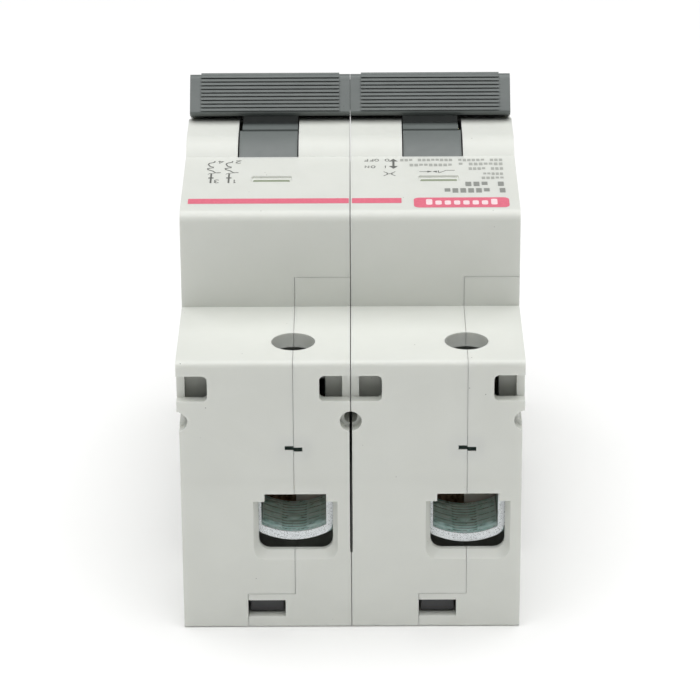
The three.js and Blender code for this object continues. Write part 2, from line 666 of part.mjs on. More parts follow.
function pole(side, left, tieSide) {
  const group = new THREE.Group();
  group.position.x = left;
  const add = (name, shape, finish) => group.add(named(`${side}_${name}`, shape, finish));
  const turned = (name, shape, finish, [y, z], degrees) => {
    const piece = named(`${side}_${name}`, shape, finish);
    piece.position.set(0, y, z);
    piece.rotation.x = radians(degrees);
    group.add(piece);
  };

  const whole = poleCase(tieSide);
  add('base_shell', whole.subtract(coverSpace(SEAM_GAP)), SHELL);
  add('cover_shell', whole.intersect(coverSpace(0)), SHELL);
  turned('toggle', toggle(tieSide), GREY, [TOGGLE_Y, TOGGLE_Z], -TOGGLE_TILT);
  const pinX = [SIDE_WALL + 0.3, POLE_W - SIDE_WALL - 0.3];
  add('toggle_axle', rodX(AXLE_R, pinX, TOGGLE_Y, TOGGLE_Z), STEEL);

  for (const [end, mirrored] of [['line', false], ['load', true]]) {
    const facing = (shape) => (mirrored ? shape.mirror([0, 1, 0]) : shape);
    const clamp = named(`${side}_${end}_clamp_cage`, facing(cage()), ZINC);
    clamp.position.z = tieSide > 0 ? 0 : -RIGHT_CAGE_DROP;
    group.add(clamp);
    add(`${end}_terminal_screw`, facing(screw()), STEEL);
    add(`${end}_rail_clip`, facing(dinClip()), DARK);
  }
  add('line_busbar', lineBusbar(), COPPER);
  add('load_busbar', loadBusbar(), COPPER);

  turned('contact_arm', contactArm(), COPPER, [ARM_Y, ARM_Z], -ARM_OPENING);
  add('contact_arm_pin', rodX(ARM_PIN_R, pinX, ARM_Y, ARM_Z, 20), STEEL);
  add('toggle_link', link(), STEEL);
  add('arc_chute', arcChute(), FIBRE);
  add('arc_runner', arcRunner(), STEEL);
  add('trip_coil', tube(new Winding(), COIL_WIRE_R, 5, 60), COPPER);
  add('coil_yoke', yoke(), ZINC);
  add('trip_plunger', rodY(1.8, COIL_X, [6.9, 20], COIL_Z, 20), STEEL);
  add('bimetal_strip', box([10, 16], [28.2, 29.2], [13, 37]), STEEL);
  const braidPath = new THREE.CatmullRomCurve3([
    new THREE.Vector3(5, 27, 30),
    new THREE.Vector3(5, 24, 15),
    new THREE.Vector3(5, 14, 13),
    new THREE.Vector3(5, 8.5, 21),
    new THREE.Vector3(5, 8, 28),
  ]);
  add('contact_braid', tube(braidPath, 1.2, 6, 18), COPPER);
  add('trip_lever', tripLever(), DARK);
  RIVETS.forEach(([y, z], i) => add(`case_rivet_${i + 1}`, rivet(y, z), STEEL));
  return group;
}

const breaker = new THREE.Group();
breaker.add(pole('left', -PITCH, 1));
breaker.add(pole('right', POLE_GAP / 2, -1));

const tie = named('toggle_tie_bar', prismX(tieSection(0), [-TIE_DEPTH, TIE_DEPTH]), GREY);
tie.position.set(0, TOGGLE_Y, TOGGLE_Z);
tie.rotation.x = radians(-TOGGLE_TILT);
breaker.add(tie);
breaker.add(named('common_trip_bar', rodX(TRIP_BAR_R, [-25.4, 25.4], TRIP_Y, TRIP_Z, 20), STEEL));

export default breaker;
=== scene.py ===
import json
import math

import bmesh
import bpy
from mathutils import Matrix, Vector


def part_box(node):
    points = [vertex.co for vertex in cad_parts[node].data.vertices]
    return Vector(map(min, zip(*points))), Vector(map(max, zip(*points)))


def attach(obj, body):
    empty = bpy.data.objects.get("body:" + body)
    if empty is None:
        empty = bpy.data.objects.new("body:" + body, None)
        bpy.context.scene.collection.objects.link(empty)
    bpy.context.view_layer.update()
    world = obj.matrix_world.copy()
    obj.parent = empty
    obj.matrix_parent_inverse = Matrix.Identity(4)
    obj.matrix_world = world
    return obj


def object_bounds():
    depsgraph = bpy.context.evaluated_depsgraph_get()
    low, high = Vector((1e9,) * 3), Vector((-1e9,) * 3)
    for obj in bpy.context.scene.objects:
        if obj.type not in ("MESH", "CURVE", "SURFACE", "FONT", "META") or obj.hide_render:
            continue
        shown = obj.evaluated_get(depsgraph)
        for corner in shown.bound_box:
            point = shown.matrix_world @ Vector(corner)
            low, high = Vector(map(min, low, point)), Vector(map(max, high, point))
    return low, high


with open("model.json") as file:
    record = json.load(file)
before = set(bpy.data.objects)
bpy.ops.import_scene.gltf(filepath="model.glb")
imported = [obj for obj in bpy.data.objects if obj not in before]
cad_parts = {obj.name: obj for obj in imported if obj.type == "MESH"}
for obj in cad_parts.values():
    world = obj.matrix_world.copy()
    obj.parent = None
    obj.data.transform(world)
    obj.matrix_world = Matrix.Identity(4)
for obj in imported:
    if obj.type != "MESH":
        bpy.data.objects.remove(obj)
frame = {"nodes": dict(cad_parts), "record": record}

cad_box = [list(corner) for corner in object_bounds()]
LOW, HIGH = (Vector(corner) for corner in cad_box)
MM = 0.001
POLES = ("left", "right")
ENDS = ("line", "load")


# ---- Camera, floor and lights ----

CAMERA_ELEVATION = math.radians(23.5)
CAMERA_ROLL = math.radians(0.33)
CAMERA_AZIMUTH = math.radians(0.2)
CAMERA_LENS = 174.9
CAMERA_SENSOR = 36
CAMERA_CLIP = (0.01, 50)
CAMERA_DEPTH = 541.5 * MM
CAMERA_RISE = 44.18 * MM
CAMERA_SIDE = -0.05 * MM

LIGHT_TARGET = (0, 0, 0.03)
TOP_LIGHT = {"place": (0, -0.05, 1.3), "size": (1.8, 1.8), "watts": 26.5}
FRONT_LIGHT = {"place": (0, -1.3, 0.6), "size": (1.1, 0.6), "watts": 1.1}
WORLD_STRENGTH = 0.14
FLOOR_REACH = 4.0
FLOOR_GAP = 0.05 * MM


def make_camera():
    """Looks down at the line end, from a little over half a metre away."""
    turn = Matrix.Rotation(CAMERA_AZIMUTH, 3, "Z")
    forward = turn @ Vector((0, math.cos(CAMERA_ELEVATION), -math.sin(CAMERA_ELEVATION)))
    upward = turn @ Vector((0, math.sin(CAMERA_ELEVATION), math.cos(CAMERA_ELEVATION)))
    foot = Vector(((LOW.x + HIGH.x) / 2, LOW.y, LOW.z))
    data = bpy.data.cameras.new("camera")
    data.lens = CAMERA_LENS
    data.sensor_width = CAMERA_SENSOR
    data.clip_start, data.clip_end = CAMERA_CLIP
    camera = bpy.data.objects.new("camera", data)
    bpy.context.collection.objects.link(camera)
    camera.location = foot - forward * CAMERA_DEPTH + upward * CAMERA_RISE
    camera.location.x += CAMERA_SIDE
    level = Matrix.Rotation(math.pi / 2 - CAMERA_ELEVATION, 3, "X")
    camera.rotation_euler = (turn @ level @ Matrix.Rotation(-CAMERA_ROLL, 3, "Z")).to_euler()
    bpy.context.scene.camera = camera


def area_light(name, place, size, watts):
    """A rectangular light turned to LIGHT_TARGET."""
    data = bpy.data.lights.new(name, "AREA")
    data.shape = "RECTANGLE"
    data.size, data.size_y = size
    data.energy = watts
    light = bpy.data.objects.new(name, data)
    bpy.context.collection.objects.link(light)
    light.location = place
    light.rotation_euler = (Vector(LIGHT_TARGET) - Vector(place)).to_track_quat("-Z", "Y").to_euler()


def make_studio():
    scene = bpy.context.scene
    scene.view_settings.view_transform = "Standard"
    scene.view_settings.look = "None"
    world = bpy.data.worlds.new("studio")
    world.use_nodes = True
    background = world.node_tree.nodes["Background"]
    background.inputs["Color"].default_value = (1, 1, 1, 1)
    background.inputs["Strength"].default_value = WORLD_STRENGTH
    scene.world = world
    area_light("top_light", **TOP_LIGHT)
    area_light("front_light", **FRONT_LIGHT)
    make_floor()


def make_floor():
    mesh = bpy.data.meshes.new("floor")
    corners = [(x * FLOOR_REACH, y * FLOOR_REACH, 0) for x, y in ((-1, -1), (1, -1), (1, 1), (-1, 1))]
    mesh.from_pydata(corners, [], [(0, 1, 2, 3)])
    floor = bpy.data.objects.new("floor", mesh)
    floor.location.z = LOW.z - FLOOR_GAP
    bpy.context.collection.objects.link(floor)
    floor.data.materials.append(floor_material())


# ---- Material helpers ----

class Shader:
    """A node material with one principled shader, built up a layer at a time."""

    def __init__(self, name):
        self.material = bpy.data.materials.new(name)
        self.material.use_nodes = True
        self.tree = self.material.node_tree
        self.bsdf = self.tree.nodes["Principled BSDF"]
        self.place = self.tree.nodes.new("ShaderNodeTexCoord").outputs["Object"]
        self.height = None

    def node(self, kind, **settings):
        node = self.tree.nodes.new(kind)
        for key, value in settings.items():
            setattr(node, key, value)
        return node

    def link(self, source, target):
        self.tree.links.new(source, target)

    def set(self, **values):
        for key, value in values.items():
            self.bsdf.inputs[key.replace("_", " ").title().replace("Ior", "IOR")].default_value = value

    def stretched(self, scale):
        mapping = self.node("ShaderNodeMapping")
        mapping.inputs["Scale"].default_value = scale
        self.link(self.place, mapping.inputs["Vector"])
        return mapping.outputs["Vector"]

    def noise(self, size_mm, detail=3.0, stretch=(1, 1, 1), roughness=0.5):
        """Noise whose features are about size_mm across."""
        noise = self.node("ShaderNodeTexNoise")
        noise.inputs["Scale"].default_value = 1 / (size_mm * MM)
        noise.inputs["Detail"].default_value = detail
        noise.inputs["Roughness"].default_value = roughness
        self.link(self.stretched(stretch), noise.inputs["Vector"])
        return noise.outputs["Fac"]

    def cells(self, size_mm):
        """Distance to the nearest of many scattered points, in cells of size_mm."""
        cells = self.node("ShaderNodeTexVoronoi")
        cells.inputs["Scale"].default_value = 1 / (size_mm * MM)
        self.link(self.place, cells.inputs["Vector"])
        return cells.outputs["Distance"]

    def ramp(self, source, stops):
        ramp = self.node("ShaderNodeValToRGB")
        elements = ramp.color_ramp.elements
        while len(elements) < len(stops):
            elements.new(0.5)
        for element, (position, colour) in zip(elements, stops):
            element.position = position
            element.color = (*colour, 1) if len(colour) == 3 else colour
        self.link(source, ramp.inputs["Fac"])
        return ramp.outputs["Color"]

    def spread(self, source, low, high, start=0.3, end=0.7):
        spread = self.node("ShaderNodeMapRange")
        spread.inputs["From Min"].default_value = start
        spread.inputs["From Max"].default_value = end
        spread.inputs["To Min"].default_value = low
        spread.inputs["To Max"].default_value = high
        self.link(source, spread.inputs["Value"])
        return spread.outputs["Result"]

    def mix(self, factor, first, second):
        mix = self.node("ShaderNodeMix", data_type="RGBA")
        for socket, value in ((mix.inputs[0], factor), (mix.inputs[6], first), (mix.inputs[7], second)):
            if isinstance(value, bpy.types.NodeSocket):
                self.link(value, socket)
            else:
                socket.default_value = value
        return mix.outputs[2]

    def bump(self, source, depth_mm, strength=1.0):
        bump = self.node("ShaderNodeBump")
        bump.inputs["Distance"].default_value = depth_mm * MM
        bump.inputs["Strength"].default_value = strength
        self.link(source, bump.inputs["Height"])
        if self.height:
            self.link(self.height, bump.inputs["Normal"])
        self.height = bump.outputs["Normal"]
        self.link(self.height, self.bsdf.inputs["Normal"])


def floor_material():
    shader = Shader("pale_floor")
    grain = shader.noise(60, detail=2)
    shader.link(shader.ramp(grain, [(0.3, (0.93, 0.93, 0.925)), (0.7, (0.95, 0.95, 0.945))]),
                shader.bsdf.inputs["Base Color"])
    shader.set(roughness=0.6, emission_color=(1, 1, 1, 1), emission_strength=0.06)
    return shader.material


SPECK_CELL_MM = 3.2
DUST_SHARE = 0.35


def moulded_plastic(name, colour, deeper, grain_depth=0.006, depth_mm=0.0):
    """Moulded plastic: cloudy tone, fine grain, paler edges and dark specks. Light sinks in by depth_mm."""
    shader = Shader(name)
    cloud = shader.noise(9, detail=4)
    edge = shader.node("ShaderNodeNewGeometry").outputs["Pointiness"]
    tone = shader.ramp(cloud, [(0.35, deeper), (0.65, colour)])
    worn = shader.spread(edge, 0.0, 0.12, 0.52, 0.62)
    pale = tuple(min(1, channel * 1.06 + 0.01) for channel in colour)
    tone = shader.mix(worn, tone, (*pale, 1))
    speck = shader.spread(shader.cells(SPECK_CELL_MM), 1.0, 0.0, 0.02, 0.036)
    dust = tuple(DUST_SHARE * channel for channel in colour)
    shader.link(shader.mix(speck, tone, (*dust, 1)), shader.bsdf.inputs["Base Color"])
    shader.link(shader.spread(shader.noise(1.4, detail=5), 0.38, 0.5), shader.bsdf.inputs["Roughness"])
    shader.bump(shader.noise(0.5, detail=4, roughness=0.6), grain_depth)
    shader.bump(shader.noise(14, detail=1), 0.03, 0.4)
    shader.set(ior=1.5)
    if depth_mm:
        shader.set(subsurface_weight=0.35, subsurface_scale=depth_mm * MM)
        shader.set(subsurface_radius=(1, 0.97, 0.92))
    return shader.material


def plated_steel(name, colour, tint, metallic=1.0):
    """Zinc-plated steel: drawn streaks, a passivated tint in clouds and small pits."""
    shader = Shader(name)
    streak = (1, 8, 1)
    tone = shader.ramp(shader.noise(2.2, detail=5), [(0.35, tint), (0.62, colour)])
    shader.link(tone, shader.bsdf.inputs["Base Color"])
    shader.link(shader.spread(shader.noise(0.5, detail=4, stretch=streak), 0.25, 0.45),
                shader.bsdf.inputs["Roughness"])
    shader.bump(shader.noise(0.16, detail=3, stretch=streak), 0.006)
    shader.bump(shader.noise(0.9, detail=2), 0.02, 0.5)
    shader.set(metallic=metallic)
    return shader.material


def bare_copper(name):
    """Bright copper with darker oxide clouds and rolled streaks."""
    shader = Shader(name)
    tone = shader.ramp(shader.noise(2.5, detail=6),
                       [(0.3, (0.30, 0.12, 0.06)), (0.5, (0.62, 0.30, 0.17)), (0.75, (0.80, 0.45, 0.29))])
    shader.link(tone, shader.bsdf.inputs["Base Color"])
    shader.link(shader.spread(shader.noise(0.8, detail=4, stretch=(1, 6, 1)), 0.22, 0.5),
                shader.bsdf.inputs["Roughness"])
    shader.bump(shader.noise(0.25, detail=3, stretch=(1, 6, 1)), 0.008)
    shader.set(metallic=1.0)
    return shader.material


def pressed_fibre(name):
    """Buff fibre board with flecks and a dry surface."""
    shader = Shader(name)
    flecks = shader.noise(0.7, detail=6, stretch=(1, 3, 1))
    shader.link(shader.ramp(flecks, [(0.35, (0.33, 0.24, 0.15)), (0.6, (0.60, 0.49, 0.35))]),
                shader.bsdf.inputs["Base Color"])
    shader.link(shader.spread(flecks, 0.6, 0.9), shader.bsdf.inputs["Roughness"])
    shader.bump(flecks, 0.03)
    return shader.material


def printed_ink(name, colour):
    """Pad-printed ink: a little uneven in density, slightly glossier than the plastic."""
    shader = Shader(name)
    density = shader.noise(0.35, detail=5, roughness=0.7)
    thin = tuple(min(1, channel * 1.12 + 0.03) for channel in colour)
    shader.link(shader.ramp(density, [(0.42, colour), (0.72, thin)]), shader.bsdf.inputs["Base Color"])
    shader.link(shader.spread(density, 0.35, 0.5), shader.bsdf.inputs["Roughness"])
    shader.bump(density, 0.004)
    return shader.material


def saddle_steel(name):
    """Passivated steel of a pressed saddle, painted lighter than the cage's steel to stand in for the light
    it lacks in the cage's shade; painted highlight along its crests, painted shade down its grooves.
    """
    shader = Shader(name)
    # Painted light: the base tone is a lit copy of the passivated steel, raised to make up for the shade
    # inside the cage.
    tone = shader.ramp(shader.noise(1.5, detail=5), [(0.35, (0.52, 0.84, 0.79)), (0.62, (0.72, 1.0, 0.97))])
    curvature_for_painted_light = shader.node("ShaderNodeNewGeometry").outputs["Pointiness"]
    # Painted shade: darker down the concave grooves.
    tone = shader.mix(shader.spread(curvature_for_painted_light, 0.8, 0.0, 0.46, 0.497), tone, (0.10, 0.17, 0.16, 1))
    # Painted highlight: paler along the convex crests.
    tone = shader.mix(shader.spread(curvature_for_painted_light, 0.0, 0.6, 0.505, 0.54), tone, (0.85, 1.0, 1.0, 1))
    shader.link(tone, shader.bsdf.inputs["Base Color"])
    shader.link(shader.spread(shader.noise(0.5, detail=4), 0.25, 0.45), shader.bsdf.inputs["Roughness"])
    shader.bump(shader.noise(0.2, detail=3), 0.008)
    shader.set(metallic=0.1)
    return shader.material


def sheared_edge(name):
    """Bare sheared steel: near white, pitted with dark specks."""
    shader = Shader(name)
    specks = shader.noise(0.14, detail=2, roughness=0.7)
    tone = shader.ramp(specks, [(0.33, (0.12, 0.13, 0.13)), (0.43, (0.80, 0.84, 0.85)),
                                (0.7, (0.95, 0.98, 1.0))])
    shader.link(tone, shader.bsdf.inputs["Base Color"])
    shader.link(shader.spread(specks, 0.6, 0.35), shader.bsdf.inputs["Roughness"])
    shader.bump(specks, 0.03)
    shader.set(metallic=0.15)
    return shader.material


# ---- Material of each slot ----

SLOT_MATERIALS = {
    "shell_plastic": moulded_plastic("white_shell", (0.70, 0.715, 0.67), (0.68, 0.695, 0.65), depth_mm=1.2),
    "toggle_plastic": moulded_plastic("grey_toggle", (0.140, 0.157, 0.152), (0.126, 0.142, 0.138),
                                      grain_depth=0.01),
    "clip_plastic": moulded_plastic("dark_clip", (0.045, 0.045, 0.048), (0.035, 0.035, 0.038)),
    "steel": plated_steel("plated_steel", (0.62, 0.64, 0.65), (0.42, 0.44, 0.45)),
    "zinc_steel": plated_steel("passivated_zinc", (0.27, 0.38, 0.36), (0.16, 0.245, 0.235), metallic=0.45),
    "copper": bare_copper("bare_copper"),
    "fibre": pressed_fibre("pressed_fibre"),
}
CUT_EDGE = sheared_edge("sheared_edge")
# The saddle's material carries painted light: a raised tone, painted shade in its grooves and painted
# highlight on its crests.
SADDLE_STEEL = saddle_steel("passivated_saddle_painted_light")


# ---- Edges ----

WELD_MM = 0.015
FLAT_ANGLE, BEVEL_ANGLE = 1, 28
SHELL_EDGE_MM, OTHER_EDGE_MM, FLAG_EDGE_MM, RIM_EDGE_MM = 0.04, 0.12, 0.08, 0.05


def soften(piece, width_mm):
    """Joins the loose facets, merges the flat ones, rounds the sharp edges and smooths what is left."""
    weld = piece.modifiers.new("join_facets", "WELD")
    weld.merge_threshold = WELD_MM * MM
    merge = piece.modifiers.new("merge_flats", "DECIMATE")
    merge.decimate_type = "DISSOLVE"
    merge.angle_limit = math.radians(FLAT_ANGLE)
    bevel = piece.modifiers.new("edge_round", "BEVEL")
    bevel.width = width_mm * MM
    bevel.segments = 2
    bevel.limit_method = "ANGLE"
    bevel.angle_limit = math.radians(BEVEL_ANGLE)
    bevel.use_clamp_overlap = True
    bevel.harden_normals = False
    for polygon in piece.data.polygons:
        polygon.use_smooth = True
    normals = piece.modifiers.new("flat_faces", "WEIGHTED_NORMAL")
    normals.keep_sharp = False


# ---- Solid sheets ----

def make_piece(name, vertices, faces, material, body):
    """A closed mesh in metres that rides on a body."""
    mesh = bpy.data.meshes.new(name)
    mesh.from_pydata([tuple(MM * value for value in vertex) for vertex in vertices], [], faces)
    mesh.materials.append(material)
    piece = bpy.data.objects.new(name, mesh)
    bpy.context.collection.objects.link(piece)
    work = bmesh.new()
    work.from_mesh(mesh)
    bmesh.ops.remove_doubles(work, verts=work.verts, dist=1e-7)
    bmesh.ops.recalc_face_normals(work, faces=work.faces)
    work.to_mesh(mesh)
    work.free()
    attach(piece, body)
    return piece


class Sheet:
    """Gathers closed slabs into one mesh."""

    def __init__(self):
        self.vertices = []
        self.faces = []

    def slab(self, top, bottom):
        """Closes two rings of the same number of corners into a slab."""
        start, count = len(self.vertices), len(top)
        self.vertices += [*top, *bottom]
        self.faces.append(tuple(range(start, start + count)))
        self.faces.append(tuple(range(start + 2 * count - 1, start + count - 1, -1)))
        for i in range(count):
            j = (i + 1) % count
            self.faces.append((start + i, start + count + i, start + count + j, start + j))

    def grid(self, top, bottom, columns, rows):
        """Closes two height fields, each a function of (column, row) giving a point, into a slab."""
        start = len(self.vertices)
        for height in (top, bottom):
            self.vertices += [height(i, j) for j in range(rows + 1) for i in range(columns + 1)]
        under = (rows + 1) * (columns + 1)

        def at(i, j, layer=0):
            return start + layer * under + j * (columns + 1) + i

        for j in range(rows):
            for i in range(columns):
                self.faces.append((at(i, j), at(i + 1, j), at(i + 1, j + 1), at(i, j + 1)))
                self.faces.append((at(i, j + 1, 1), at(i + 1, j + 1, 1), at(i + 1, j, 1), at(i, j, 1)))
        for i in range(columns):
            self.faces.append((at(i, 0, 1), at(i + 1, 0, 1), at(i + 1, 0), at(i, 0)))
            self.faces.append((at(i, rows), at(i + 1, rows), at(i + 1, rows, 1), at(i, rows, 1)))
        for j in range(rows):
            self.faces.append((at(0, j), at(0, j + 1), at(0, j + 1, 1), at(0, j, 1)))
            self.faces.append((at(columns, j, 1), at(columns, j + 1, 1), at(columns, j + 1), at(columns, j)))


# ---- Print on the front ----
# Drawn on the sloping top of the hood in mm: x across the breaker, y from the line end. The print reads
# from the load end, so it stands upside down when the breaker is seen from the line end. Each film of ink
# reaches INK_RISE above the plastic and as far into it, and a lift keeps crossing strokes apart.

LABEL_NEAR_Y, LABEL_FAR_Y = -22.5, 1.35
LABEL_NEAR_Z, LABEL_FAR_Z = 62.0, 62.70
INK_RISE = 0.02


def label_z(y):
    return LABEL_NEAR_Z + (LABEL_FAR_Z - LABEL_NEAR_Z) * (y - LABEL_NEAR_Y) / (LABEL_FAR_Y - LABEL_NEAR_Y)


class Print(Sheet):
    """Ink on the label plane: filled outlines and pen strokes, each a closed film of ink."""

    def fill(self, outline, lift=0.0):
        top = [(x, y, label_z(y) + INK_RISE + lift) for x, y in outline]
        self.slab(top, [(x, y, label_z(y) - INK_RISE) for x, y in outline])

    def box(self, x0, y0, x1, y1, lift=0.0):
        self.fill([(x0, y0), (x1, y0), (x1, y1), (x0, y1)], lift)

    def rounded_box(self, x0, y0, x1, y1, radius, lift=0.0):
        outline = []
        corners = ((x1 - radius, y1 - radius, 0), (x0 + radius, y1 - radius, 90),
                   (x0 + radius, y0 + radius, 180), (x1 - radius, y0 + radius, 270))
        for cx, cy, start in corners:
            for k in range(7):
                angle = math.radians(start + 15 * k)
                outline.append((cx + radius * math.cos(angle), cy + radius * math.sin(angle)))
        self.fill(outline, lift)

    def stroke(self, points, width, lift=0.0):
        """A pen stroke of even width with mitred bends."""
        sides = ([], [])
        for k, (x, y) in enumerate(points):
            before, after = points[max(k - 1, 0)], points[min(k + 1, len(points) - 1)]
            incoming = Vector((x - before[0], y - before[1]))
            outgoing = Vector((after[0] - x, after[1] - y))
            incoming = (incoming if incoming.length else outgoing).normalized()
            outgoing = (outgoing if outgoing.length else incoming).normalized()
            along = (incoming + outgoing).normalized()
            mitre = width / 2 / max(0.5, along.dot(outgoing))
            across = Vector((-along.y, along.x)) * mitre
            sides[0].append((x + across.x, y + across.y))
            sides[1].append((x - across.x, y - across.y))
        self.ribbon(*sides, lift)

    def ribbon(self, left, right, lift):
        """Closes the film of ink between two edges."""
        start, count = len(self.vertices), len(left)
        for height in (INK_RISE + lift, -INK_RISE):
            for pair in zip(left, right):
                self.vertices += [(x, y, label_z(y) + height) for x, y in pair]

        def at(k, side, layer):
            return start + 2 * count * layer + 2 * k + side

        for k in range(count - 1):
            self.faces.append((at(k, 0, 0), at(k + 1, 0, 0), at(k + 1, 1, 0), at(k, 1, 0)))
            self.faces.append((at(k, 1, 1), at(k + 1, 1, 1), at(k + 1, 0, 1), at(k, 0, 1)))
            self.faces.append((at(k, 0, 0), at(k, 0, 1), at(k + 1, 0, 1), at(k + 1, 0, 0)))
            self.faces.append((at(k, 1, 0), at(k + 1, 1, 0), at(k + 1, 1, 1), at(k, 1, 1)))
        for k in (0, count - 1):
            self.faces.append((at(k, 0, 0), at(k, 1, 0), at(k, 1, 1), at(k, 0, 1)))

    def glyph(self, strokes, x, y, width, height, pen):
        """Strokes on a unit square, turned to read from the load end, with (x, y) the middle."""
        for k, points in enumerate(strokes):
            place = [(x + (0.5 - u) * width, y + (0.5 - v) * height) for u, v in points]
            self.stroke(place, pen, lift=0.001 * k)


def arc_points(cx, cy, rx, ry, start, end, count):
    angles = [math.radians(start + (end - start) * k / count) for k in range(count + 1)]
    return [(cx + rx * math.cos(angle), cy + ry * math.sin(angle)) for angle in angles]


GLYPHS = {
    "1": [[(0.3, 0.8), (0.55, 1.0), (0.55, 0.0)]],
    "2": [[*arc_points(0.5, 0.72, 0.42, 0.28, 160, -40, 8), (0.08, 0.0), (0.95, 0.0)]],
    "3": [arc_points(0.45, 0.74, 0.42, 0.25, 150, -80, 8), arc_points(0.45, 0.26, 0.45, 0.26, 80, -150, 8)],
    "4": [[(0.7, 0.0), (0.7, 1.0), (0.05, 0.3), (0.98, 0.3)]],
    "O": [arc_points(0.5, 0.5, 0.45, 0.5, 90, 449, 20)],
    "N": [[(0.08, 0.0), (0.08, 1.0), (0.92, 0.0), (0.92, 1.0)]],
    "F": [[(0.12, 0.0), (0.12, 1.0), (0.92, 1.0)], [(0.12, 0.55), (0.8, 0.55)]],
    "I": [[(0.5, 0.0), (0.5, 1.0)]],
}


def write(ink, text, right_x, y, width, height, pen, step):
    """Writes text whose first letter is at right_x, because it reads from the load end."""
    for k, letter in enumerate(text):
        if letter != " ":
            ink.glyph(GLYPHS[letter], right_x - k * step, y, width, height, pen)


def circuit_symbol(ink, x, near_digit, far_digit):
    """One pole of a breaker's symbol: terminal, cross, blade, heater and coil, terminal."""
    pen = 0.21
    ink.stroke([(x, -9.85), (x, -5.9)], pen + 0.07)
    ink.box(x - 0.42, -7.9, x - 0.12, -7.5, 0.001)
    ink.box(x + 0.12, -7.9, x + 0.42, -7.5, 0.001)
    ink.stroke([(x - 0.55, -6.15), (x - 0.22, -5.75), (x + 0.55, -5.65)], pen - 0.1, 0.002)
    ink.stroke([(x + 1.5, -5.45), (x + 0.7, -5.5), (x + 0.15, -4.7), (x - 0.6, -4.15), (x - 0.7, -3.65),
                (x - 0.1, -3.4), (x + 0.3, -3.3)], pen, 0.003)
    ink.stroke([(x + 0.3, -3.05), (x - 0.3, -2.75), *arc_points(x, -1.85, 0.6, 0.7, 200, 95, 6),
                (x + 0.35, -0.95), (x + 0.4, -0.5)], pen, 0.004)
    ink.glyph(GLYPHS[near_digit], x + 0.95, -9.15, 0.8, 1.3, 0.17)
    ink.glyph(GLYPHS[far_digit], x + 1.37, -0.85, 0.9, 1.1, 0.17)


def switch_marks(ink):
    """The on and off marks with their double arrow, the crossed symbol and the isolator's symbol."""
    ink.box(6.9, -3.1, 7.25, -0.7)
    ink.fill([(6.35, -0.9), (7.8, -0.9), (7.07, 0.25)], 0.001)
    ink.fill([(6.35, -2.9), (7.07, -4.05), (7.8, -2.9)], 0.001)
    write(ink, "O OFF", 6.05, -0.32, 0.7, 0.95, 0.14, 0.86)
    write(ink, "I ON", 5.75, -3.2, 0.7, 0.95, 0.14, 1.0)
    for side in (-1, 1):
        ink.stroke([(6.4 + side * 0.95, -5.3), (6.4 + side * 0.35, -5.9), (6.4 + side * 0.35, -6.5),
                    (6.4 + side * 0.95, -7.1)], 0.14)
    ink.box(5.9, -6.28, 6.9, -6.12, 0.002)
    ink.stroke([(11.25, -5.35), (12.55, -5.35)], 0.13)
    ink.fill([(12.55, -5.0), (13.3, -5.3), (12.55, -5.75)], 0.001)
    ink.fill([(14.1, -5.0), (13.4, -5.35), (14.1, -5.75)], 0.001)
    ink.stroke([(14.35, -5.75), (14.35, -4.95)], 0.15)
    ink.stroke([(14.4, -5.95), (15.6, -4.85), (17.0, -4.85)], 0.14, 0.002)


LETTER_SHARE = 0.72
LETTER_MARGIN = 0.14


def word_blocks(ink, x0, x1, y, height, seed):
    """Stands for a line of print: plain blocks of ink with word gaps, with no letter drawn."""
    count = max(2, round((x1 - x0) / (LETTER_SHARE * height)))
    step = (x1 - x0) / count
    for k in range(count):
        # A fixed beat leaves the word gaps and shortens some of the blocks.
        beat = (seed * 7 + k * 5) % 11
        if beat == 0:
            continue
        left, right = x0 + (k + LETTER_MARGIN) * step, x0 + (k + 1 - LETTER_MARGIN) * step
        low = y - height * (0.25 if beat % 3 == 0 else 0.5)
        ink.box(left, low, right, y + height / 2)


# Each line of small or large print: its left and right ends, the middle of its height and its height.
SMALL_PRINT = [
    (8.1, 16.8, -0.35, 1.0), (17.6, 25.0, -0.42, 1.0), (9.6, 16.7, -2.5, 1.05), (17.65, 25.0, -2.15, 1.1),
    (19.2, 25.0, -4.15, 1.05), (21.5, 24.9, -6.4, 1.0), (21.2, 24.95, -8.15, 1.0),
]
LARGE_PRINT = [(18.4, 24.95, -10.7, 1.8), (15.0, 25.1, -13.4, 1.8)]

# The red bands, the red box and the pale blocks in it, as x0, y0, x1, y1 where a box is given whole.
RED_BANDS = ((-25.85, -18.5, -0.2, -16.45), (0.3, -18.5, 8.2, -16.45))
RED_BAND_R = 0.15
RED_BOX = (10.15, -20.4, 25.35, -16.35)
RED_BOX_R = 0.9
BLOCK_COUNT, BLOCK_X, BLOCK_STEP, BLOCK_WIDTH = 8, 12.1, 1.48, 1.0
BLOCK_LOW_Y, BLOCK_HIGH_Y, TALL_BLOCK_Y, BLOCK_R = -19.3, -17.6, -17.0, 0.35

# Each circuit symbol's x, and its digits at the line and the load end.
SYMBOLS = ((-22.55, "3", "4"), (-19.65, "1", "2"))


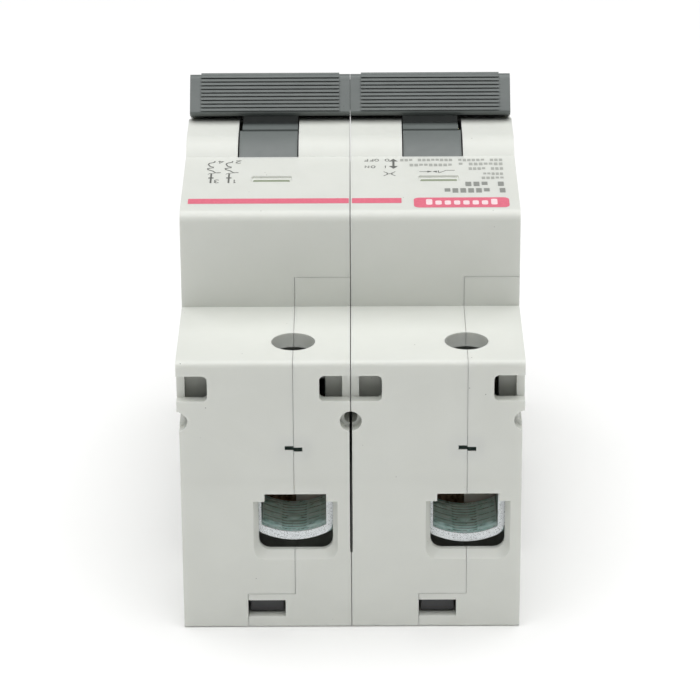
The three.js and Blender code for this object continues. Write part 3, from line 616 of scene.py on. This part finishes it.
def print_front():
    red = printed_ink("red_ink", (0.70, 0.145, 0.215))
    black = printed_ink("black_ink", (0.11, 0.115, 0.105))
    faint = printed_ink("faint_ink", (0.37, 0.38, 0.35))
    grey = printed_ink("grey_ink", (0.25, 0.26, 0.24))
    pale = printed_ink("pale_ink", (0.86, 0.68, 0.70))
    band = Print()
    for corners in RED_BANDS:
        band.rounded_box(*corners, RED_BAND_R)
    band.rounded_box(*RED_BOX, RED_BOX_R)
    make_piece("red_print", band.vertices, band.faces, red, "case")
    blocks = Print()
    for k in range(BLOCK_COUNT):
        high = TALL_BLOCK_Y if k in (0, BLOCK_COUNT - 1) else BLOCK_HIGH_Y
        left = BLOCK_X + k * BLOCK_STEP
        blocks.rounded_box(left, BLOCK_LOW_Y, left + BLOCK_WIDTH, high, BLOCK_R, 0.004)
    make_piece("pale_print", blocks.vertices, blocks.faces, pale, "case")
    dark = Print()
    for x, near_digit, far_digit in SYMBOLS:
        circuit_symbol(dark, x, near_digit, far_digit)
    switch_marks(dark)
    make_piece("black_print", dark.vertices, dark.faces, black, "case")
    for name, lines, ink in (("small_word_print", SMALL_PRINT, faint),
                             ("large_word_print", LARGE_PRINT, grey)):
        words = Print()
        for k, (x0, x1, y, height) in enumerate(lines):
            word_blocks(words, x0, x1, y, height, k + 1)
        make_piece(name, words.vertices, words.faces, ink, "case")


# ---- Indicator strips ----

FLAG_LOW, FLAG_HIGH = (11.35, -9.15, 61.45), (17.2, -8.25, 62.3)


def indicator_flags():
    """The strip in the little window of each front."""
    strip = moulded_plastic("flag_plastic", (0.28, 0.32, 0.225), (0.25, 0.29, 0.2))
    for pole in POLES:
        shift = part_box(f"{pole}_base_shell")[0][0] / MM
        sheet = Sheet()
        (x0, y0, z0), (x1, y1, z1) = FLAG_LOW, FLAG_HIGH
        ring = [(x0 + shift, y0), (x1 + shift, y0), (x1 + shift, y1), (x0 + shift, y1)]
        sheet.slab([(x, y, z1) for x, y in ring], [(x, y, z0) for x, y in ring])
        piece = make_piece(f"{pole}_indicator_flag", sheet.vertices, sheet.faces, strip, "case")
        soften(piece, FLAG_EDGE_MM)


# ---- Clamp cages ----

# Shape of a cage and its saddle, in mm.
CAGE_WALL = 1.12
CAGE_FLOOR = 1.3
CAGE_SAG = 1.8
CAGE_CORNER_R = 1.3
RIM_TOP_DROP = 2.3
SADDLE_RISE = 1.26
SADDLE_SKIN = 0.1
SERRATION, SERRATION_START = 0.95, 1
RIDGE = 0.24
MIDDLE_HALF, MIDDLE_DROP, MIDDLE_FADE = 1.95, 0.16, 0.05
EDGE_BAND, EDGE_FADE = 0.9, 0.25
BUMP_RISE, BUMP_LONG, SIDE_BUMP_WIDE, MIDDLE_BUMP_WIDE = 0.45, 0.8, 1.15, 1.25
BUMP_INSET, SIDE_BUMP_DEPTHS, MIDDLE_BUMP_DEPTH = 1.35, (2.1, 8.4), 4.9
PLATE_COLUMNS, PLATE_ROWS = 60, 110
RIM_PROUD, RIM_DEEP, RIM_STEPS = 0.05, 0.3, 48


def saddle_plate(name, node, body, line_end):
    """The serrated face of a clamp's saddle, with its recessed middle and five pressed bumps."""
    low, high = (Vector(corner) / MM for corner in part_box(node))
    centre, half = (low.x + high.x) / 2, (high.x - low.x) / 2 - CAGE_WALL
    mouth = low.y if line_end else high.y
    inward = 1 if line_end else -1
    floor_z = low.z + CAGE_FLOOR
    length = high.y - low.y

    side_x = half - BUMP_INSET
    bumps = [(x, place, SIDE_BUMP_WIDE) for x in (-side_x, side_x) for place in SIDE_BUMP_DEPTHS]
    bumps.append((0, MIDDLE_BUMP_DEPTH, MIDDLE_BUMP_WIDE))

    def relief(across, depth):
        ridge = abs(((depth - SERRATION_START) / SERRATION) % 1 - 0.5) * 2
        inside = min(1, max(0, (min(depth, length - depth) - EDGE_BAND) / EDGE_FADE))
        height = RIDGE * (1 - ridge ** 1.6) * inside
        middle = 1 / (1 + math.exp((abs(across) - MIDDLE_HALF) / MIDDLE_FADE))
        height -= MIDDLE_DROP * middle * inside
        for at_x, at_y, wide in bumps:
            reach = ((across - at_x) / wide) ** 2 + ((depth - at_y) / BUMP_LONG) ** 2
            if reach < 1:
                height = max(height, BUMP_RISE * (1 - reach) ** 0.6)
        return height

    def point(i, j, lift):
        across, depth = half * (2 * i / PLATE_COLUMNS - 1), length * j / PLATE_ROWS
        z = floor_z + SADDLE_RISE * (across / half) ** 2 + lift(across, depth)
        return (centre + across, mouth + inward * depth, z)

    def top(i, j):
        return point(i, j, lambda across, depth: SADDLE_SKIN + relief(across, depth))

    def bottom(i, j):
        return point(i, j, lambda across, depth: -SADDLE_SKIN)

    sheet = Sheet()
    sheet.grid(top, bottom, PLATE_COLUMNS, PLATE_ROWS)
    plate = make_piece(name, sheet.vertices, sheet.faces, SADDLE_STEEL, body)
    for polygon in plate.data.polygons:
        polygon.use_smooth = True


def cut_rim(name, node, body, line_end):
    """The sheared edge of a cage at its mouth, bare and bright."""
    low, high = (Vector(corner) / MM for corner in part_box(node))
    centre, half = (low.x + high.x) / 2, (high.x - low.x) / 2
    mouth = low.y if line_end else high.y
    inward = 1 if line_end else -1
    face, back = mouth - inward * RIM_PROUD, mouth + inward * RIM_DEEP
    inner_half = half - CAGE_WALL
    rings = []
    top_z = high.z - RIM_TOP_DROP
    for k in range(RIM_STEPS + 1):
        t = 2 * k / RIM_STEPS - 1
        reach = max(0, CAGE_CORNER_R - half * (1 - abs(t)))
        corner = CAGE_CORNER_R - math.sqrt(CAGE_CORNER_R ** 2 - reach ** 2)
        outer = (centre + half * t, low.z + CAGE_SAG * t * t + corner)
        inner = (centre + inner_half * t, low.z + CAGE_FLOOR + SADDLE_RISE * t * t + SADDLE_SKIN)
        rings.append((outer, inner))
    left = ((centre - half, top_z), (centre - inner_half, top_z))
    right = ((centre + half, top_z), (centre + inner_half, top_z))
    rings = [left, *rings, right]
    sheet = Sheet()

    def front(i, j):
        x, z = rings[j][i]
        return (x, face, z)

    def rear(i, j):
        x, z = rings[j][i]
        return (x, back, z)

    sheet.grid(front, rear, 1, len(rings) - 1)
    rim = make_piece(name, sheet.vertices, sheet.faces, CUT_EDGE, body)
    soften(rim, RIM_EDGE_MM)


def dress_clamps():
    for pole in POLES:
        for end in ENDS:
            node, body = f"{pole}_{end}_clamp_cage", f"{pole}_{end}_clamp"
            saddle_plate(f"{node}_plate", node, body, end == "line")
            cut_rim(f"{node}_rim", node, body, end == "line")


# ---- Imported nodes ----

def dress_frame():
    """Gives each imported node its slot's material, and softens its edges."""
    slots = {row["node"]: row["material_slot"] for row in frame["record"]["subparts"]}
    for name, node in frame["nodes"].items():
        node.data.materials.clear()
        node.data.materials.append(SLOT_MATERIALS[slots[name]])
        soften(node, SHELL_EDGE_MM if slots[name] == "shell_plastic" else OTHER_EDGE_MM)


make_camera()
make_studio()
dress_frame()
dress_clamps()
print_front()
indicator_flags()
